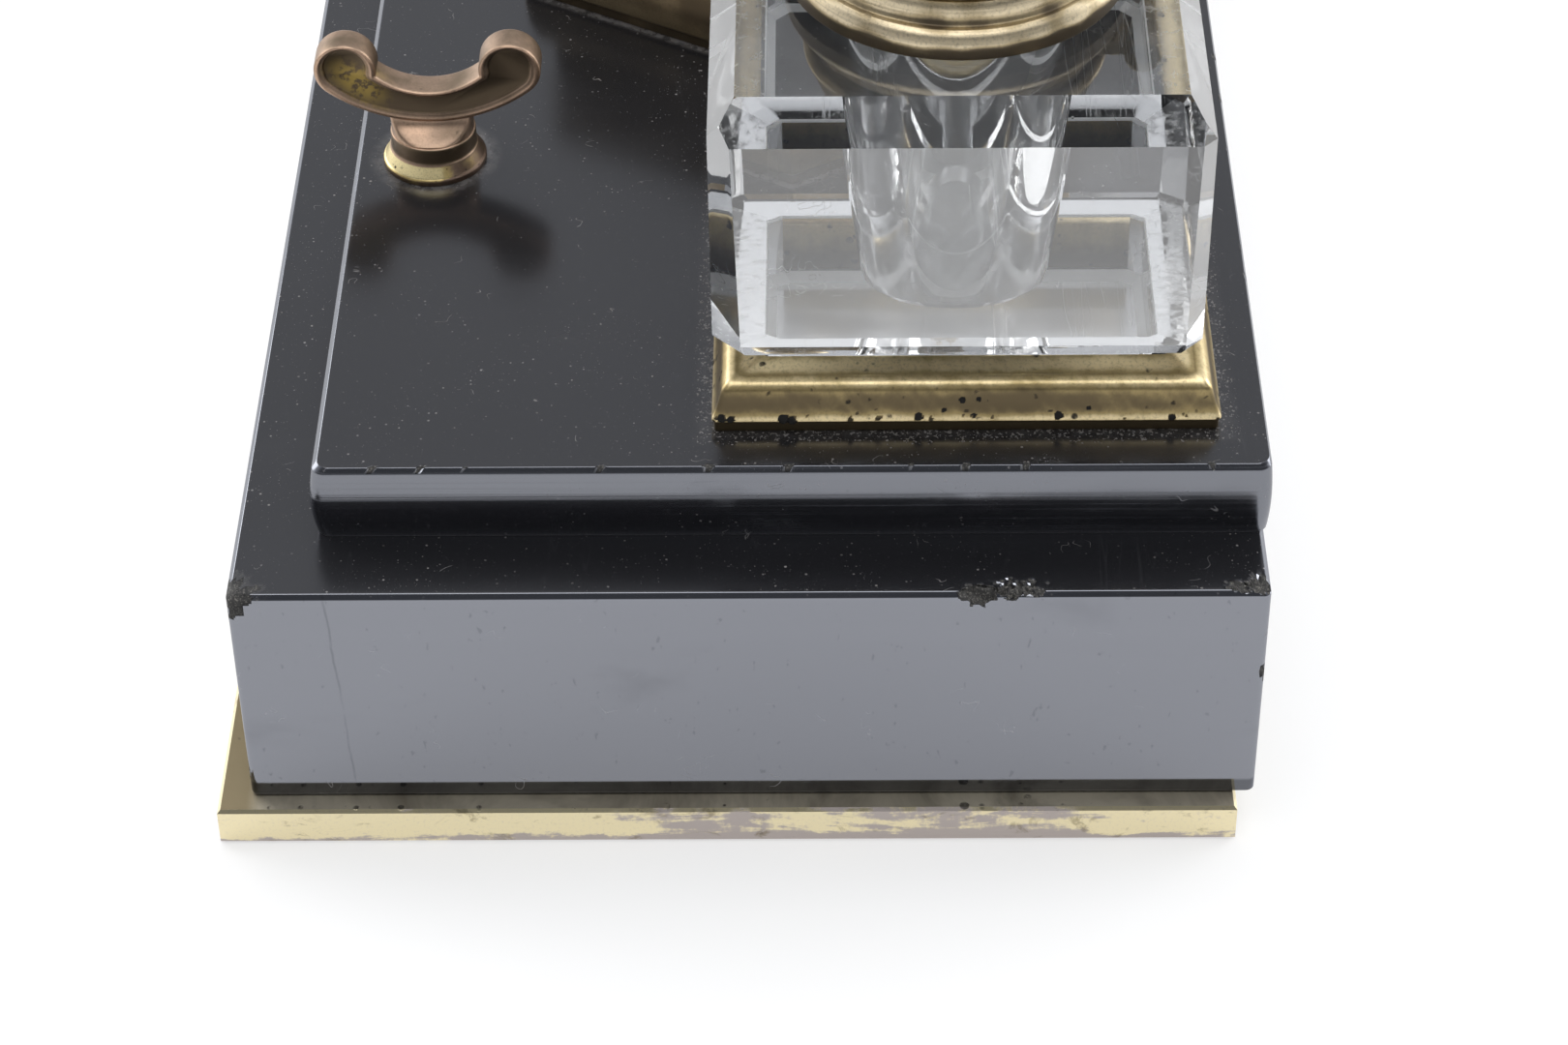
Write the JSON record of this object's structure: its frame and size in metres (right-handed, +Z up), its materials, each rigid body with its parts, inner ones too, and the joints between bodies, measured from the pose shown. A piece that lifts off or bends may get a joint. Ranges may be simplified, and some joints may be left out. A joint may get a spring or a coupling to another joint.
{
  "type": "inkstand",
  "caption": "Desk inkstand: stepped black stone base on a brass plate, with lidded square glass inkwells, scrolled pen rests and a hinged hexagonal stamp box.",
  "frame": {"origin": "centre of the brass plate's underside, on the desk", "axes": "+X along the stand to the writer's right, -Y towards the writer, +Z up"},
  "size_m": [0.2846, 0.1311, 0.1283],
  "materials": {
    "black_stone": "polished",
    "plate_brass": "satin",
    "frame_brass": "satin",
    "collar_brass": "satin",
    "rest_bronze": "satin",
    "box_bronze": "satin",
    "fixing_brass": "satin",
    "clear_glass": "polished",
    "seal_leather": "matte"
  },
  "bodies": {
    "base": {"base_plate": "plate_brass", "base_block": "black_stone", "top_slab": "black_stone", "inkwell_frame_right": "frame_brass", "inkwell_frame_left": "frame_brass", "frame_studs": "fixing_brass", "frame_washers": "fixing_brass", "frame_nuts": "fixing_brass", "pen_rest_right": "rest_bronze", "pen_rest_left": "rest_bronze", "pen_rest_studs": "fixing_brass", "pen_rest_washers": "fixing_brass", "pen_rest_nuts": "fixing_brass", "stamp_box": "box_bronze", "stamp_box_hinge_pin": "fixing_brass", "stamp_box_stud": "fixing_brass", "stamp_box_washer": "fixing_brass", "stamp_box_nut": "fixing_brass"},
    "inkwell_right": {"glass_well_right": "clear_glass", "collar_right": "collar_brass", "lid_hinge_pin_right": "fixing_brass"},
    "inkwell_lid_right": {"lid_right": "collar_brass", "lid_knob_right": "collar_brass", "lid_seal_right": "seal_leather"},
    "inkwell_left": {"glass_well_left": "clear_glass", "collar_left": "collar_brass", "lid_hinge_pin_left": "fixing_brass"},
    "inkwell_lid_left": {"lid_left": "collar_brass", "lid_knob_left": "collar_brass", "lid_seal_left": "seal_leather"},
    "box_lid": {"stamp_box_lid": "box_bronze", "stamp_box_knob": "collar_brass"}
  },
  "joints": [
    {"name": "inkwell_right_lift", "type": "slide", "parent": "base", "child": "inkwell_right", "axis": [0, 0, 1], "range_m": [0, 0.05]},
    {"name": "inkwell_right_lid_hinge", "type": "hinge", "parent": "inkwell_right", "child": "inkwell_lid_right", "pos_m": [0.0899, 0.0514, 0.1033], "axis": [-1, 0, 0], "range_deg": [0, 105]},
    {"name": "inkwell_left_lift", "type": "slide", "parent": "base", "child": "inkwell_left", "axis": [0, 0, 1], "range_m": [0, 0.05]},
    {"name": "inkwell_left_lid_hinge", "type": "hinge", "parent": "inkwell_left", "child": "inkwell_lid_left", "pos_m": [-0.0899, 0.0514, 0.1033], "axis": [-1, 0, 0], "range_deg": [0, 105]},
    {"name": "stamp_box_lid_hinge", "type": "hinge", "parent": "base", "child": "box_lid", "pos_m": [0, 0.04621, 0.0738], "axis": [-1, 0, 0], "range_deg": [0, 100]}
  ]
}
